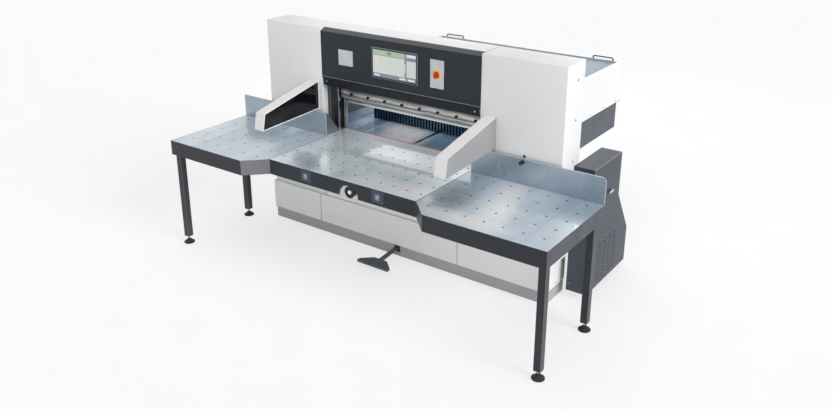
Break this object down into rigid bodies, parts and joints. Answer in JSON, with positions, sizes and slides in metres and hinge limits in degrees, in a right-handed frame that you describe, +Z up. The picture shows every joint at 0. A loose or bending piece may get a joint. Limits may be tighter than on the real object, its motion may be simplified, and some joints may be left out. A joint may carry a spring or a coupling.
{
  "type": "paper cutter",
  "caption": "Programmed hydraulic guillotine for paper stacks, with air tables, clamp, back gauge, light-curtain arms and a hinged rear enclosure.",
  "frame": {"origin": "on the floor, straight below the middle of the knife's cutting line", "axes": "+X to the operator's right, +Y from the operator to the back of the machine, +Z up"},
  "size_m": [3.401, 2.9356, 1.784],
  "materials": {
    "white_paint": "fine satin powder coat",
    "light_grey_paint": "satin powder coat",
    "dark_paint": "fine textured powder coat",
    "graphite_paint": "textured powder coat",
    "frame_iron": "painted casting",
    "table_steel": "brushed nickel plate",
    "bright_steel": "ground",
    "guide_steel": "polished",
    "chrome": "polished",
    "alu": "fine satin",
    "black_plastic": "satin",
    "black_gloss": "gloss",
    "screen_glass": "lit display",
    "pale_plastic": "satin",
    "red_plastic": "satin",
    "button_blue": "satin",
    "stick_red": "matt"
  },
  "bodies": {
    "machine": {"side_frames": "frame_iron", "cross_beams": "frame_iron", "upper_beam": "frame_iron", "throat_guides": "guide_steel", "plinth": "white_paint", "lower_panels": "white_paint", "apron": "white_paint", "rear_base_cover": "white_paint", "left_column_cover": "white_paint", "right_column_cover": "white_paint", "top_cover": "white_paint", "fascia": "dark_paint", "hinge_pins": "bright_steel", "monitor_housing": "black_plastic", "monitor_screen": "screen_glass", "control_plates": "pale_plastic", "front_table": "table_steel", "front_bar": "dark_paint", "table_brackets": "frame_iron", "cutting_stick": "stick_red", "rear_tables": "table_steel", "left_table_plate": "table_steel", "right_table_plate": "table_steel", "left_table_frame": "dark_paint", "right_table_frame": "dark_paint", "levelling_feet": "black_plastic", "left_guard": "alu", "right_guard": "alu", "arm_housings": "white_paint", "light_curtain_windows": "black_gloss", "hydraulic_cylinders": "bright_steel", "gauge_track": "bright_steel", "gauge_motor": "black_plastic", "rear_skirt": "light_grey_paint", "rear_side_walls": "white_paint", "rear_pedestal": "light_grey_paint", "cabinet_body": "graphite_paint", "cable_gland": "black_plastic", "hydraulic_unit": "light_grey_paint", "cover_screws": "pale_plastic"},
    "knife": {"knife_carrier": "frame_iron", "knife_blade": "bright_steel", "knife_bolts": "bright_steel", "knife_pistons": "chrome"},
    "clamp": {"clamp_beam": "frame_iron", "clamp_yoke": "bright_steel"},
    "gauge": {"back_gauge": "alu", "gauge_carriage": "frame_iron"},
    "screw": {"lead_screw": "bright_steel"},
    "knife_guard": {"knife_flap": "dark_paint"},
    "back_wall": {"rear_wall": "white_paint", "rear_handles": "dark_paint"},
    "door": {"cabinet_door": "graphite_paint"},
    "latch": {"cabinet_latch": "chrome"},
    "switch": {"main_switch_knob": "red_plastic"},
    "left_button": {"left_cut_button": "button_blue"},
    "right_button": {"right_cut_button": "button_blue"},
    "wheel": {"handwheel": "black_plastic"},
    "pedal": {"foot_pedal": "graphite_paint"},
    "thumb_screw": {"guard_knob": "black_plastic"}
  },
  "joints": [
    {"name": "knife_stroke", "type": "slide", "parent": "machine", "child": "knife", "axis": [-0.1613, 0, -0.9869], "range_m": [0, 0.24793]},
    {"name": "clamp_stroke", "type": "slide", "parent": "machine", "child": "clamp", "axis": [0, 0, -1], "range_m": [0, 0.2325]},
    {"name": "gauge_travel", "type": "slide", "parent": "machine", "child": "gauge", "axis": [0, 1, 0], "range_m": [-0.29, 1.145]},
    {"name": "screw_turn", "type": "hinge", "parent": "machine", "child": "screw", "pos_m": [0, 0.9, 0.83], "axis": [0, 1, 0], "continuous": true},
    {"name": "guard_lift", "type": "hinge", "parent": "machine", "child": "knife_guard", "pos_m": [0, -0.203, 1.384], "axis": [-1, 0, 0], "range_deg": [0, 100]},
    {"name": "back_wall_fold", "type": "hinge", "parent": "machine", "child": "back_wall", "pos_m": [0, 1.848, 0.996], "axis": [-1, 0, 0], "range_deg": [0, 90]},
    {"name": "door_swing", "type": "hinge", "parent": "machine", "child": "door", "pos_m": [1.5723, -0.028, 0.5], "axis": [0, 0, -1], "range_deg": [0, 100]},
    {"name": "latch_turn", "type": "hinge", "parent": "door", "child": "latch", "pos_m": [1.5753, 0.288, 0.79], "axis": [1, 0, 0], "range_deg": [0, 90]},
    {"name": "switch_turn", "type": "hinge", "parent": "machine", "child": "switch", "pos_m": [0.372, -0.23, 1.573], "axis": [0, 1, 0], "range_deg": [0, 90]},
    {"name": "left_button_press", "type": "slide", "parent": "machine", "child": "left_button", "axis": [0, 1, 0], "range_m": [0, 0.004], "stiffness_N_per_m": 600, "springref_m": -0.002},
    {"name": "right_button_press", "type": "slide", "parent": "machine", "child": "right_button", "axis": [0, 1, 0], "range_m": [0, 0.004], "stiffness_N_per_m": 600, "springref_m": -0.002},
    {"name": "wheel_turn", "type": "hinge", "parent": "machine", "child": "wheel", "pos_m": [0.103, -0.9, 0.82], "axis": [0, 1, 0], "continuous": true},
    {"name": "pedal_press", "type": "hinge", "parent": "machine", "child": "pedal", "pos_m": [0, -0.16, 0.078], "axis": [1, 0, 0], "range_deg": [0, 4.5], "stiffness_Nm_per_rad": 100, "springref_deg": -12.61},
    {"name": "thumb_screw_turn", "type": "hinge", "parent": "machine", "child": "thumb_screw", "pos_m": [1.109, -0.25, 1.062], "axis": [0, 1, 0], "continuous": true}
  ],
  "couplings": [
    {"joint": "screw_turn", "follows": "gauge_travel", "rad_per_m": -314.16}
  ]
}
